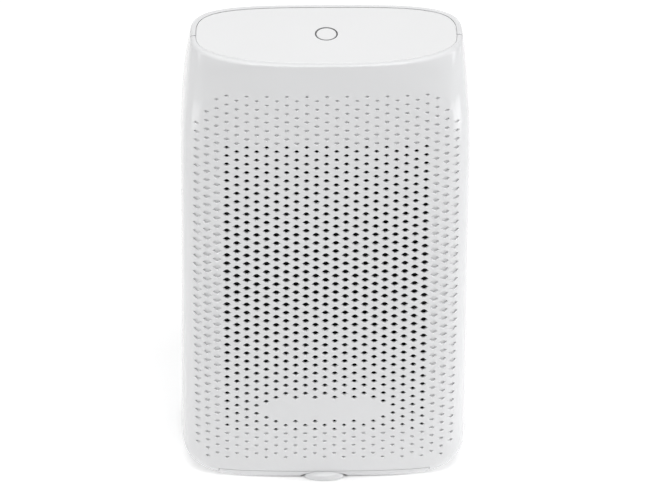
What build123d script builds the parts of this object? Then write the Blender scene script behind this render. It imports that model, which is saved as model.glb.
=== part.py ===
from build123d import *
import os
from math import cos, radians, sqrt

# Compact thermoelectric dehumidifier. Millimetres, +Z up, front towards -Y,
# origin on the floor under the middle of the overall box.

# ---- casing ----
BODY_W = 205.0  # widest, across the flanks
BODY_H = 365.0  # floor to top plate
FRONT_Y = -68.5  # front face
BACK_Y = 72.5  # back face of the lower half
FOOT_H = 0.5  # casing underside above the floor
WALL = 1.6
TOP_W = 190.0  # top outline, across
TOP_D = 75.5  # top outline, front to back
BOTTOM_R = 25.0  # rounded lower corners, across
BOTTOM_RZ = 18.0  # and upright
TAPER_Z = 255.0  # flanks start to draw in here
SLOPE_Z = 140.0  # back starts to lean forward here
SLOPE_POWER = 2.6
FRONT_POWER = 7.0  # squareness of the plan curve, front half
TOP_FRONT_POWER = 2.4
ROUNDING_Z = 300.0  # front plan curve starts to round off here
BACK_POWER = 3.6
FRONT_TUCK = 2.0  # how far the front face draws in at the very bottom
BACK_TUCK = 2.0
RIM_W = 3.5  # rim round the top plate
RIM_SHELF_Z = 358.0
RIM_SHELF_W = 8.0
TOP_EDGE_R = 2.0
GAP = 0.4  # parting gap between casing mouldings
FAR = 90.0  # clear of the casing on any side, for cutting blocks
SEAM_TOP_Y = -30.5  # front and back mouldings meet on a slightly tilted plane
SEAM_FOOT_Y = -14.0
RIB_X = 75.5  # upright ribs inside the cover that hold the filter frame
RIB_Z = (40.0, 300.0)

# ---- diamond grille ----
PITCH_X = 7.0  # between neighbouring columns
PITCH_Z = 7.26  # between holes in one column; neighbours are half a pitch off
GRILLE_MID_Z = 179.0
GRILLE_COLUMNS = 10  # each side of the middle one
GRILLE_ROWS_UP = 16.0
GRILLE_ROWS_DOWN = 18.5
DIAMOND_W = 6.0  # at the middle of the grille
DIAMOND_H = 4.8
BADGE_ROW = 16  # a blank patch in the lower grille
PANEL_HALF_W = 73.4
PANEL_INSET = 0.5  # panel plane behind the frontmost line of the casing
SHRINK = 0.42  # how much smaller the diamonds get towards the top and bottom rows
SHRINK_POWER = 1.6

# ---- base and tank ----
BASE_TOP = 5.5
BASE_HALF_W = 75.8
LIP_LIFT = 1.6  # the lip's top edge is this much higher at its ends
LIP_Y = 60.0  # the lip is forward of this, towards the front
TONGUE = (14.25, 6.0, 4.8)  # half width, reach, height of the finger tongue
TONGUE_Z = 0.5
ARCH_HALF_W = 17.0  # arch in the strip round the finger tongue
FOOT_R = 7.0
FOOT_AT = (60.0, 48.0)
SENSOR_POST = (-75.5, -72.5, 2.0, 18.0)  # low x, high x, low y, high y
SENSOR_POST_TOP = 92.0
TANK_HALF_W = 70.0
TANK_FRONT_Y = -36.0
TANK_FLOOR_Z = 5.8
TANK_TOP_Z = 98.0
TANK_WALL = 2.0
TANK_CLEAR = 0.7
GRIP = (26.0, 13.0, 66.0, 86.0)  # half width, depth, low z, high z
LID_T = 2.2
DOOR_Y = 30.0  # the doorway is cut from here backwards
DOOR_CLEAR_Z = 2.0  # above the lid
DRIP_Y = -28.0
DRIP_SLOT = (40.0, 12.0)
PLUG_Y = 30.0
PLUG_R = 10.9
PLUG_HOLE_R = 11.0
PLUG_HEAD_R = 13.0
PLUG_HEAD_T = 0.8
FLOAT_AXIS_Y = 40.0
FLOAT_AXIS_Z = 64.0
FLOAT_X = -56.0
FLOAT_PIN_R = 1.5
FLOAT_BRACKET = (-70.0, -46.0, 5.0, 7.0, 6.0)  # low x, high x, ahead, behind, half height
FLOAT_BODY = (-66.0, -46.0, -12.0, 18.0)  # low x, high x, low y, high y
MAGNET_AT = (-63.5, 3.0)
MAGNET_R = 3.0
MAGNET_L = 5.0

# ---- filter ----
FILTER_HALF_W = 73.8
FILTER_Z = (36.0, 304.0)
FILTER_Y = -65.0
FILTER_T = 0.8
FRAME_Y = -61.0
FRAME_T = 3.2
FRAME_CELLS = (3, 4)
FRAME_PITCH = (49.0, 64.5)
FRAME_BAR = 3.0

# ---- cooling stack ----
STACK_Z = 215.0
PLATE_Y = -20.5  # front face of the chassis plate
PLATE_T = 3.0
SINK_BASE = 5.0
COLD_HALF = (45.0, 60.0)
HOT_HALF = 38.0
COLD_FIN = 26.0
HOT_FIN = 25.0
FIN_T = 1.4
WINDOW_HALF = 35.0
MODULE = 40.0
CLAMP_X = 28.0
CLAMP_HOLE_R = 1.7
CHASSIS_Z = (108.0, 340.0)
SIDE_WINDOW = (55.0, 79.0, 165.0, 265.0)  # low x, high x, low z, high z
BRACKET_X = 35.0

# ---- fan ----
FAN = 92.0
FAN_T = 25.0
FAN_Y = 16.0  # front face of the fan
FAN_HOLE = 82.5
FAN_BORE_R = 44.0
HUB_R = 19.0
SHAFT_R = 1.5
BLADES = 7

# ---- top controls ----
BUTTON_Y = -29.2
BUTTON_R = 7.05
RING_IN_R = 7.15
RING_OUT_R = 8.05
PLATE_TOP_T = 3.0
BUTTON_TRAVEL = 0.8
BOARD_Z = 352.0
BOARD_T = 1.6

# ---- screws and inlet ----
SCREWS = [(-70.0, 135.0), (70.0, 135.0), (-60.0, 290.0), (60.0, 290.0)]
SCREW_SINK = 8.0
SCREW_SEAT_R = 4.0
SCREW_BOSS_R = 5.5
INLET = (45.0, 128.0)
INLET_SINK = 3.0
INLET_SEAT_R = 8.0
INLET_BOSS_R = 10.0
VENT_SLOTS = 13
VENT_PITCH = 7.0
VENT_SLOT = (92.0, 3.2)

# ---- boards ----
MAIN_BOARD = (46.0, 277.0, 323.0)  # half width, low z, high z
BOARD_POST_X = 40.0
BOARD_POST_Z = (283.0, 317.0)
BOARD_STANDOFF = 5.0

# ---- drip funnel ----
FUNNEL_TOP_Z = 126.0
FUNNEL_FLOOR_Z = 112.0
FUNNEL_Y = -37.0
FUNNEL_TOP = (104.0, 28.0)
FUNNEL_FLOOR = (20.0, 10.0)
SPOUT_Z = 106.0

os.makedirs("parts", exist_ok=True)


def rise(z, start, power):
    """0 below start, growing to 1 at the top of the casing."""
    return max(0.0, (z - start) / (BODY_H - start)) ** power


def tuck(z):
    """1 at the underside, falling to 0 along a quarter ellipse."""
    depth = max(0.0, BOTTOM_RZ - (z - FOOT_H)) / BOTTOM_RZ
    return 1.0 - sqrt(max(0.0, 1.0 - depth**2))


def back_face(z):
    return BACK_Y - BACK_TUCK * tuck(z) - (BACK_Y - FRONT_Y - TOP_D) * rise(z, SLOPE_Z, SLOPE_POWER)


def middle(z):
    """Y of the widest line."""
    wide_y = (FRONT_Y + BACK_Y) / 2
    return wide_y + (SEAM_TOP_Y - wide_y) * rise(z, SLOPE_Z, SLOPE_POWER)


def half_width(z):
    return BODY_W / 2 - BOTTOM_R * tuck(z) - (BODY_W - TOP_W) / 2 * rise(z, TAPER_Z, 2)


def front_power(z):
    return FRONT_POWER - (FRONT_POWER - TOP_FRONT_POWER) * rise(z, ROUNDING_Z, 1.5)


def wall_y(x, z):
    """Y of the back surface at x, z."""
    return middle(z) + (back_face(z) - middle(z)) * quarter_reach(abs(x) / half_width(z), BACK_POWER)


def quarter(power):
    """Control points of a rounded quarter from (0, 1) to (1, 0); power 2 is an ellipse, higher is squarer."""
    far = (32 * 0.5 ** (1 / power) - 16) / 13
    near = 0.6 * far
    return [(0, 1), (near, 1), (far, 1), (1, far), (1, near), (1, 0)]


def quarter_reach(share, power):
    """Second coordinate of the quarter curve where the first is share."""
    low, high = 0.0, 1.0
    weights = (1, 5, 10, 10, 5, 1)
    for _ in range(40):
        t = (low + high) / 2
        terms = [w * t**k * (1 - t) ** (5 - k) for k, w in enumerate(weights)]
        across, reach = (sum(w * point[axis] for w, point in zip(terms, quarter(power))) for axis in (0, 1))
        low, high = (t, high) if across < share else (low, t)
    return reach


def outline(z, inset=0.0):
    """Plan curve of the casing at height z."""
    half = half_width(z) - inset
    front = middle(z) - (FRONT_Y + FRONT_TUCK * tuck(z) + inset)
    back = back_face(z) - inset - middle(z)
    with BuildSketch(Plane.XY.offset(z)) as sketch:
        with BuildLine():
            for side in (1, -1):
                for reach, power in ((back, BACK_POWER), (-front, front_power(z))):
                    Bezier(*[(side * half * x, middle(z) + reach * y) for x, y in quarter(power)])
        make_face()
    return sketch.sketch


def casing(inset, low, high):
    """Solid casing shape, drawn in by inset, between two heights."""
    corner = [FOOT_H + BOTTOM_RZ * (1 - cos(radians(a))) for a in range(12, 91, 13)]
    body = [SLOPE_Z + 15 * step for step in range(15)]
    levels = [low] + [z for z in corner + body if low + 0.5 < z < high - 0.5] + [high]
    with BuildPart() as solid:
        loft(sections=[outline(z, inset) for z in levels], ruled=True)
    return solid.part


def block(x0, x1, y0, y1, z0, z1):
    """Private box between two corners."""
    middle_point = ((x0 + x1) / 2, (y0 + y1) / 2, (z0 + z1) / 2)
    return Pos(*middle_point) * Box(x1 - x0, y1 - y0, z1 - z0, mode=Mode.PRIVATE)


def rod(x, z, r, y0, y1):
    """Private cylinder along Y between y0 and y1."""
    return Pos(x, (y0 + y1) / 2, z) * Rot(90, 0, 0) * Cylinder(r, y1 - y0, mode=Mode.PRIVATE)


def cross_rod(x, y, r, length):
    """Private cylinder along X at the float's height."""
    return Pos(x, y, FLOAT_AXIS_Z) * Rot(0, 90, 0) * Cylinder(r, length, mode=Mode.PRIVATE)


def seam(shift):
    """Parting plane between the front and back mouldings, moved along Y."""
    middle_y = (SEAM_TOP_Y + SEAM_FOOT_Y) / 2 + shift
    return Plane(origin=(0, middle_y, BODY_H / 2), z_dir=(0, BODY_H, SEAM_FOOT_Y - SEAM_TOP_Y))


def save(builder, name):
    builder.part.label = name
    export_step(builder.part, f"parts/{name}.step")


# ------------------------------------------------------------------ casing
with BuildPart() as outer:
    add(casing(0, FOOT_H, BODY_H))
    fillet(outer.edges().group_by(Axis.Z)[-1], TOP_EDGE_R)

inner = casing(WALL, FOOT_H + WALL, RIM_SHELF_Z)


def hollow(plate_depth):
    """Inside of the casing, with the stepped opening that the top plate drops into."""
    with BuildPart() as space:
        add(inner)
        for inset, depth in ((RIM_W, plate_depth), (RIM_SHELF_W, BODY_H - RIM_SHELF_Z + 1)):
            with BuildSketch(Plane.XY.offset(BODY_H)):
                add(outline(BODY_H, inset))
            extrude(amount=-depth)
    return space.part


def base_region(grow):
    """Space of the base: a flat plate whose front lip has a top edge that lifts a little at the ends."""
    half = BASE_HALF_W + grow
    lip = BASE_TOP + grow
    with BuildPart() as region:
        add(block(-half, half, -FAR, FAR, 0, lip))
        left_end = (-half, lip + LIP_LIFT)
        right_end = (half, lip + LIP_LIFT)
        with BuildSketch(Plane.XZ.offset(FAR)):
            with BuildLine():
                ThreePointArc(left_end, (0, lip), right_end)
                Polyline(right_end, (half, lip - 2), (-half, lip - 2), left_end)
            make_face()
        extrude(amount=-(FAR - LIP_Y) - grow)
    return region.part


def diamond(x, z, wide, high):
    with BuildLine(Plane.XZ) as edge:
        Polyline((x - wide / 2, z), (x, z - high / 2), (x + wide / 2, z), (x, z + high / 2), close=True)
    return Wire(edge.edges())


def diamonds():
    """Through holes of the grille: widest in the middle rows, smaller up and down."""
    wires = []
    for column in range(-GRILLE_COLUMNS, GRILLE_COLUMNS + 1):
        row = -GRILLE_ROWS_UP + (column % 2) / 2
        while row <= GRILLE_ROWS_DOWN:
            badge = abs(row - BADGE_ROW) <= 1 and abs(column) <= 5
            badge = badge or (row == BADGE_ROW and abs(column) == 6)
            if not badge:
                size = 1 - SHRINK * abs(row / GRILLE_ROWS_DOWN) ** SHRINK_POWER
                x = column * PITCH_X
                z = GRILLE_MID_Z - row * PITCH_Z
                wires.append(diamond(x, z, DIAMOND_W * size, DIAMOND_H * size))
            row += 1
    return wires


panel_low = GRILLE_MID_Z - (GRILLE_ROWS_DOWN + 1) * PITCH_Z
panel_high = GRILLE_MID_Z + (GRILLE_ROWS_UP + 1) * PITCH_Z
with BuildPart() as front_grille:
    low_corners = [(-PANEL_HALF_W, panel_low), (PANEL_HALF_W, panel_low)]
    high_corners = [(PANEL_HALF_W, panel_high), (-PANEL_HALF_W, panel_high)]
    with BuildLine(Plane.XZ) as panel_edge:
        Polyline(*low_corners, *high_corners, close=True)
    grille_face = Face(Wire(panel_edge.edges()), diamonds())
    panel_back = Location((0, FRONT_Y + PANEL_INSET + WALL, 0))
    extrude(grille_face.moved(panel_back), amount=WALL, dir=(0, -1, 0))
save(front_grille, "front_grille")

window = block(-PANEL_HALF_W, PANEL_HALF_W, FRONT_Y - 5, FRONT_Y + 12, panel_low, panel_high)
with BuildPart() as front_cover:
    add(outer.part)
    add(hollow(PLATE_TOP_T + GAP), mode=Mode.SUBTRACT)
    split(bisect_by=seam(-GAP / 2), keep=Keep.BOTTOM)
    add(base_region(GAP), mode=Mode.SUBTRACT)
    add(window, mode=Mode.SUBTRACT)
    # vertical ribs that hold the filter frame
    for rib_x in (-RIB_X, RIB_X):
        add(block(rib_x - 1, rib_x + 1, FRONT_Y + WALL + 1, FRAME_Y + 0.5, *RIB_Z))
save(front_cover, "front_cover")

with BuildPart() as rear_housing:
    add(outer.part)
    add(hollow(PLATE_TOP_T), mode=Mode.SUBTRACT)
    split(bisect_by=seam(GAP / 2), keep=Keep.TOP)
    add(base_region(GAP), mode=Mode.SUBTRACT)
    # doorway for the tank
    door_half = TANK_HALF_W + TANK_CLEAR
    door = block(-door_half, door_half, DOOR_Y, FAR, 0, TANK_TOP_Z + LID_T + DOOR_CLEAR_Z)
    add(door, mode=Mode.SUBTRACT)
    # sunk screw seats and the inlet seat
    inlet_y = wall_y(*INLET)
    for x, z in SCREWS:
        add(rod(x, z, SCREW_BOSS_R, wall_y(x, z) - SCREW_SINK - 2, wall_y(x, z) - 1.2))
    add(rod(*INLET, INLET_BOSS_R, inlet_y - INLET_SINK - 2, inlet_y - 1))
    for x, z in SCREWS:
        add(rod(x, z, SCREW_SEAT_R, wall_y(x, z) - SCREW_SINK, wall_y(x, z) + 5), mode=Mode.SUBTRACT)
        add(rod(x, z, 1.7, wall_y(x, z) - SCREW_SINK - 5, wall_y(x, z)), mode=Mode.SUBTRACT)
    add(rod(*INLET, INLET_SEAT_R, inlet_y - INLET_SINK, inlet_y + 5), mode=Mode.SUBTRACT)
    add(rod(*INLET, 4.1, inlet_y - 9, inlet_y), mode=Mode.SUBTRACT)
    # exhaust slots
    with BuildSketch(Plane.XZ.offset(-FAR)):
        with GridLocations(0, VENT_PITCH, 1, VENT_SLOTS):
            with Locations((0, STACK_Z)):
                SlotOverall(*VENT_SLOT)
    extrude(amount=60, mode=Mode.SUBTRACT)
save(rear_housing, "rear_housing")

dome = scale(Sphere(1.0, mode=Mode.PRIVATE), by=TONGUE, mode=Mode.PRIVATE)
with BuildPart() as tongue:
    add(Pos(0, FRONT_Y + FRONT_TUCK, TONGUE_Z) * dome)
    add(block(-30, 30, -80, -40, -10, TONGUE_Z), mode=Mode.SUBTRACT)

with BuildPart() as base_plate:
    add(outer.part)
    add(base_region(0), mode=Mode.INTERSECT)
    # arch round the finger tongue
    with BuildSketch(Plane.XZ.offset(-FRONT_Y + 1)):
        with Locations((0, FOOT_H)):
            Ellipse(ARCH_HALF_W, BASE_TOP - FOOT_H - 0.6)
    extrude(amount=-6, mode=Mode.SUBTRACT)
    add(tongue.part)
    # seats for the feet, sensor post
    for x in (-FOOT_AT[0], FOOT_AT[0]):
        for y in (-FOOT_AT[1], FOOT_AT[1]):
            foot_seat = Pos(x, y, FOOT_H + 0.5) * Cylinder(FOOT_R + 0.1, 1.0, mode=Mode.PRIVATE)
            add(foot_seat, mode=Mode.SUBTRACT)
    add(block(*SENSOR_POST, BASE_TOP - 1, SENSOR_POST_TOP))
save(base_plate, "base_plate")

with BuildPart() as rubber_feet:
    with BuildSketch(Plane.XY):
        with GridLocations(2 * FOOT_AT[0], 2 * FOOT_AT[1], 2, 2):
            Circle(FOOT_R)
    extrude(amount=FOOT_H + 1.0)
    chamfer(rubber_feet.edges().group_by(Axis.Z)[0], 0.3)
save(rubber_feet, "rubber_feet")

with BuildPart() as top_plate:
    with BuildSketch(Plane.XY.offset(BODY_H)):
        add(outline(BODY_H, RIM_W + GAP))
    extrude(amount=-PLATE_TOP_T)
    fillet(top_plate.edges().group_by(Axis.Z)[-1], 0.7)
    add(Pos(0, BUTTON_Y, BODY_H) * Cylinder(RING_OUT_R, 20, mode=Mode.PRIVATE), mode=Mode.SUBTRACT)
    # posts for the control board
    for x in (-26, 26):
        for y in (-10, 10):
            post_mid = (BODY_H - PLATE_TOP_T + BOARD_Z + BOARD_T) / 2
            post_len = BODY_H - PLATE_TOP_T - BOARD_Z - BOARD_T
            add(Pos(x, BUTTON_Y + y, post_mid) * Cylinder(2.5, post_len, mode=Mode.PRIVATE))
save(top_plate, "top_plate")

with BuildPart() as button_ring:
    with BuildSketch(Plane.XY.offset(BODY_H)):
        with Locations((0, BUTTON_Y)):
            Circle(RING_OUT_R)
            Circle(RING_IN_R, mode=Mode.SUBTRACT)
    extrude(amount=-PLATE_TOP_T)
save(button_ring, "button_ring")

with BuildPart() as power_button:
    with BuildSketch(Plane.XY.offset(BODY_H - PLATE_TOP_T - 1.1)):
        with Locations((0, BUTTON_Y)):
            Circle(9.0)
    extrude(amount=0.9)
    with BuildSketch(Plane.XY.offset(BODY_H - PLATE_TOP_T - 1.1)):
        with Locations((0, BUTTON_Y)):
            Circle(BUTTON_R)
    extrude(amount=PLATE_TOP_T + 1.1)
    fillet(power_button.edges().group_by(Axis.Z)[-1], 0.4)
    with BuildSketch(Plane.XY.offset(BOARD_Z + BOARD_T + 4.3)):
        with Locations((0, BUTTON_Y)):
            Circle(2.0)
    extrude(amount=5.0)
save(power_button, "power_button")

with BuildPart() as control_board:
    add(block(-30, 30, BUTTON_Y - 14, BUTTON_Y + 14, BOARD_Z, BOARD_Z + BOARD_T))
save(control_board, "control_board")

with BuildPart() as tact_switch:
    add(block(-3, 3, BUTTON_Y - 3, BUTTON_Y + 3, BOARD_Z + BOARD_T, BOARD_Z + BOARD_T + 2.6))
    add(Pos(0, BUTTON_Y, BOARD_Z + BOARD_T + 2.9) * Cylinder(1.6, 0.8, mode=Mode.PRIVATE))
save(tact_switch, "tact_switch")

with BuildPart() as status_led:
    with BuildSketch(Plane.XY.offset(BOARD_Z + BOARD_T)):
        with Locations((7.6, BUTTON_Y), (-7.6, BUTTON_Y)):
            Circle(1.5)
    extrude(amount=3.5)
    fillet(status_led.edges().group_by(Axis.Z)[-1], 1.2)
save(status_led, "status_led")

# ------------------------------------------------------------------ filter
with BuildPart() as air_filter:
    add(block(-FILTER_HALF_W, FILTER_HALF_W, FILTER_Y, FILTER_Y + FILTER_T, *FILTER_Z))
save(air_filter, "air_filter")

with BuildPart() as filter_frame:
    with BuildSketch(Plane.XZ.offset(-FRAME_Y)):
        with Locations((0, sum(FILTER_Z) / 2)):
            Rectangle(2 * FILTER_HALF_W, FILTER_Z[1] - FILTER_Z[0])
            with GridLocations(*FRAME_PITCH, *FRAME_CELLS):
                Rectangle(*[pitch - FRAME_BAR for pitch in FRAME_PITCH], mode=Mode.SUBTRACT)
    extrude(amount=FRAME_T)
save(filter_frame, "filter_frame")

# ------------------------------------------------------------------ cooling stack
plate_back = PLATE_Y + PLATE_T
post_seats = [(x, z, wall_y(x, z) - SCREW_SINK - 2) for x, z in SCREWS]
with BuildPart() as chassis:
    add(casing(WALL + GAP + 1.6, *CHASSIS_Z))
    add(block(-110, 110, PLATE_Y, plate_back, 100, 345), mode=Mode.INTERSECT)
    # fan posts, board posts, casing posts
    for x in (-FAN_HOLE / 2, FAN_HOLE / 2):
        for z in (STACK_Z - FAN_HOLE / 2, STACK_Z + FAN_HOLE / 2):
            add(rod(x, z, 3.2, plate_back - 0.5, FAN_Y))
            add(rod(x, z, 1.4, FAN_Y - 14, FAN_Y + 1), mode=Mode.SUBTRACT)
    for x in (-BOARD_POST_X, BOARD_POST_X):
        for z in BOARD_POST_Z:
            add(rod(x, z, 3.0, plate_back - 0.5, plate_back + BOARD_STANDOFF))
    for x, z, seat in post_seats:
        add(rod(x, z, 4.0, plate_back - 0.5, seat))
        add(rod(x, z, 1.5, seat - 12, seat + 1), mode=Mode.SUBTRACT)
    low_z, high_z = STACK_Z - WINDOW_HALF, STACK_Z + WINDOW_HALF
    add(block(-WINDOW_HALF, WINDOW_HALF, -40, 0, low_z, high_z), mode=Mode.SUBTRACT)
    # side windows let the air through round the stack
    side_low, side_high, low_z, high_z = SIDE_WINDOW
    add(block(side_low, side_high, -40, 0, low_z, high_z), mode=Mode.SUBTRACT)
    add(block(-side_high, -side_low, -40, 0, low_z, high_z), mode=Mode.SUBTRACT)
    # brackets that carry the drip funnel
    for x in (-BRACKET_X, BRACKET_X):
        add(block(x - 1.5, x + 1.5, PLATE_Y - 18, PLATE_Y + 1, CHASSIS_Z[0], CHASSIS_Z[0] + 10))
save(chassis, "chassis")

with BuildPart() as insulation_gasket:
    rim = WINDOW_HALF - 0.1
    add(block(-rim, rim, PLATE_Y, plate_back, STACK_Z - rim, STACK_Z + rim))
    hole = MODULE / 2 + 0.1
    module_hole = block(-hole, hole, PLATE_Y - 1, plate_back + 1, STACK_Z - hole, STACK_Z + hole)
    add(module_hole, mode=Mode.SUBTRACT)
    for x in (-CLAMP_X, CLAMP_X):
        add(rod(x, STACK_Z, CLAMP_HOLE_R, PLATE_Y - 1, plate_back + 1), mode=Mode.SUBTRACT)
save(insulation_gasket, "insulation_gasket")

with BuildPart() as peltier_module:
    half = MODULE / 2
    add(block(-half, half, PLATE_Y, plate_back, STACK_Z - half, STACK_Z + half))
save(peltier_module, "peltier_module")


def heatsink(half_x, half_z, base_y, fin_y, fins):
    """Base plate with upright fins between base_y and fin_y, two screw holes."""
    towards = 1 if fin_y > base_y else -1
    base = sorted((base_y, base_y + towards * SINK_BASE))
    fin_span = sorted((base_y + towards * (SINK_BASE - 0.5), fin_y))
    with BuildPart() as sink:
        add(block(-half_x, half_x, *base, STACK_Z - half_z, STACK_Z + half_z))
        for index in range(fins):
            x = -half_x + FIN_T / 2 + index * (2 * half_x - FIN_T) / (fins - 1)
            fin = block(x - FIN_T / 2, x + FIN_T / 2, *fin_span, STACK_Z - half_z, STACK_Z + half_z)
            add(fin, clean=False)
        for x in (-CLAMP_X, CLAMP_X):
            tool_path = sorted((base_y + towards * SINK_BASE, fin_y + towards))
            add(rod(x, STACK_Z, CLAMP_HOLE_R, min(base) - 1, max(base) + 1), mode=Mode.SUBTRACT)
            add(rod(x, STACK_Z, 4.0, *tool_path), mode=Mode.SUBTRACT)
    return sink


cold_heatsink = heatsink(COLD_HALF[0], COLD_HALF[1], PLATE_Y, PLATE_Y - SINK_BASE - COLD_FIN, 15)
save(cold_heatsink, "cold_heatsink")
hot_heatsink = heatsink(HOT_HALF, HOT_HALF, plate_back, plate_back + SINK_BASE + HOT_FIN, 16)
save(hot_heatsink, "hot_heatsink")

with BuildPart() as clamp_screws:
    for x in (-CLAMP_X, CLAMP_X):
        add(rod(x, STACK_Z, 1.6, PLATE_Y - SINK_BASE, plate_back + SINK_BASE))
        add(rod(x, STACK_Z, 3.2, plate_back + SINK_BASE, plate_back + SINK_BASE + 2.4))
        add(rod(x, STACK_Z, 3.0, PLATE_Y - SINK_BASE - 2.4, PLATE_Y - SINK_BASE))
save(clamp_screws, "clamp_screws")

# ------------------------------------------------------------------ fan
fan_back = FAN_Y + FAN_T
with BuildPart() as fan_frame:
    with BuildSketch(Plane.XZ.offset(-fan_back)):
        with Locations((0, STACK_Z)):
            RectangleRounded(FAN, FAN, 5)
            Circle(FAN_BORE_R, mode=Mode.SUBTRACT)
            with GridLocations(FAN_HOLE, FAN_HOLE, 2, 2):
                Circle(2.15, mode=Mode.SUBTRACT)
    extrude(amount=FAN_T)
    # four struts carry the motor at the back of the frame
    with BuildSketch(Plane.XZ.offset(-fan_back)):
        with Locations((0, STACK_Z)):
            Circle(HUB_R)
            with PolarLocations(0, 4, start_angle=45):
                with Locations((HUB_R - 2 + 14.5, 0)):
                    Rectangle(29, 4)
    extrude(amount=2.5)
    add(rod(0, STACK_Z, 4.5, fan_back - 2.6, fan_back - 2.5 + 0.1))
    add(rod(0, STACK_Z, SHAFT_R + 0.05, fan_back - 8, fan_back - 1), mode=Mode.SUBTRACT)
save(fan_frame, "fan_frame")

with BuildPart() as fan_stator:
    with BuildSketch(Plane.XZ.offset(-(fan_back - 2.5))):
        with Locations((0, STACK_Z)):
            Circle(13)
            Circle(4.5, mode=Mode.SUBTRACT)
    extrude(amount=12)
    with BuildSketch(Plane.XZ.offset(-(fan_back - 2.5))):
        with Locations((0, STACK_Z)):
            Circle(4.5)
            Circle(SHAFT_R + 0.05, mode=Mode.SUBTRACT)
    extrude(amount=14)
save(fan_stator, "fan_stator")


def blade(index):
    """One pitched blade: root and tip sections joined, turned round the fan axis."""
    hub_plane = Plane(origin=(0, FAN_Y + 9.5, HUB_R - 1), x_dir=(1, 0, 0), z_dir=(0, 0, 1))
    tip_plane = Plane(origin=(0, FAN_Y + 9.5, FAN_BORE_R - 3.5), x_dir=(1, 0, 0), z_dir=(0, 0, 1))
    with BuildPart() as one:
        with BuildSketch(hub_plane):
            Ellipse(9.5, 1.0, rotation=42)
        with BuildSketch(tip_plane):
            Ellipse(15, 0.8, rotation=26)
        loft()
    return Pos(0, 0, STACK_Z) * Rot(0, 360 / BLADES * index, 0) * one.part


with BuildPart() as fan_rotor:
    with BuildSketch(Plane.XZ.offset(-(fan_back - 4))):
        with Locations((0, STACK_Z)):
            Circle(HUB_R)
    extrude(amount=FAN_T - 6)
    fillet(fan_rotor.edges().group_by(Axis.Y)[0], 2)
    with BuildSketch(Plane.XZ.offset(-(fan_back - 4))):
        with Locations((0, STACK_Z)):
            Circle(HUB_R - 1.8)
    extrude(amount=FAN_T - 6 - 2.5, mode=Mode.SUBTRACT)
    for index in range(BLADES):
        add(blade(index), clean=False)
    with BuildSketch(Plane.XZ.offset(-(fan_back - 4))):
        with Locations((0, STACK_Z)):
            Circle(HUB_R - 1.8)
    extrude(amount=FAN_T - 6 - 2.5, mode=Mode.SUBTRACT)
save(fan_rotor, "fan_rotor")

with BuildPart() as fan_shaft:
    add(rod(0, STACK_Z, SHAFT_R, FAN_Y + 4.5, fan_back - 1.2))
save(fan_shaft, "fan_shaft")

with BuildPart() as fan_screws:
    for x in (-FAN_HOLE / 2, FAN_HOLE / 2):
        for z in (STACK_Z - FAN_HOLE / 2, STACK_Z + FAN_HOLE / 2):
            add(rod(x, z, 1.4, FAN_Y - 13, fan_back))
            add(rod(x, z, 3.4, fan_back, fan_back + 2.2))
save(fan_screws, "fan_screws")

# ------------------------------------------------------------------ boards and inlet
board_y = plate_back + BOARD_STANDOFF
board_face = board_y + BOARD_T
with BuildPart() as main_board:
    add(block(-MAIN_BOARD[0], MAIN_BOARD[0], board_y, board_face, *MAIN_BOARD[1:]))
save(main_board, "main_board")

# x, z, radius, length of the capacitors; x, z, width, height, depth of the block-shaped parts
capacitors = ((-30, 300, 5, 12), (-17, 300, 5, 12), (-5, 304, 4, 9))
packages = ((12, 300, 14, 14, 9), (34, 296, 10, 22, 10), (2, 285, 8, 8, 1.6))
with BuildPart() as board_components:
    for x, z, r, long in capacitors:
        add(rod(x, z, r, board_face, board_face + long))
    for x, z, wide, high, deep in packages:
        add(block(x - wide / 2, x + wide / 2, board_face, board_face + deep, z - high / 2, z + high / 2))
save(board_components, "board_components")

inlet_seat = inlet_y - INLET_SINK
with BuildPart() as dc_inlet:
    add(rod(*INLET, 4.0, inlet_seat - 16, inlet_seat))
    add(rod(*INLET, 5.6, inlet_seat, inlet_seat + 1.4))
    add(rod(*INLET, 2.8, inlet_seat - 11, inlet_seat + 2), mode=Mode.SUBTRACT)
    add(rod(*INLET, 1.05, inlet_seat - 12, inlet_seat - 0.5))
save(dc_inlet, "dc_inlet")

with BuildPart() as housing_screws:
    for x, z, seat in post_seats:
        add(rod(x, z, 1.45, seat - 11, seat + 2))
        add(rod(x, z, 3.25, seat + 2, seat + 4.3))
        add(rod(x, z, 1.6, seat + 3.2, seat + 5), mode=Mode.SUBTRACT)
save(housing_screws, "housing_screws")

# ------------------------------------------------------------------ drip funnel
with BuildPart() as drip_funnel:
    for grow, floor, mode in ((WALL, FUNNEL_FLOOR_Z, Mode.ADD), (0, FUNNEL_FLOOR_Z + WALL, Mode.SUBTRACT)):
        with BuildSketch(Plane.XY.offset(FUNNEL_TOP_Z - grow / 10)):
            with Locations((0, FUNNEL_Y)):
                Rectangle(*[side + 2 * grow for side in FUNNEL_TOP])
        with BuildSketch(Plane.XY.offset(floor)):
            with Locations((0, DRIP_Y)):
                Rectangle(*[side + 2 * grow for side in FUNNEL_FLOOR])
        loft(mode=mode)
    for r, mode in ((5.0, Mode.ADD), (3.6, Mode.SUBTRACT)):
        with BuildSketch(Plane.XY.offset(SPOUT_Z)):
            with Locations((0, DRIP_Y)):
                Circle(r)
        extrude(amount=FUNNEL_FLOOR_Z + 2 - SPOUT_Z, mode=mode)
save(drip_funnel, "drip_funnel")

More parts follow.
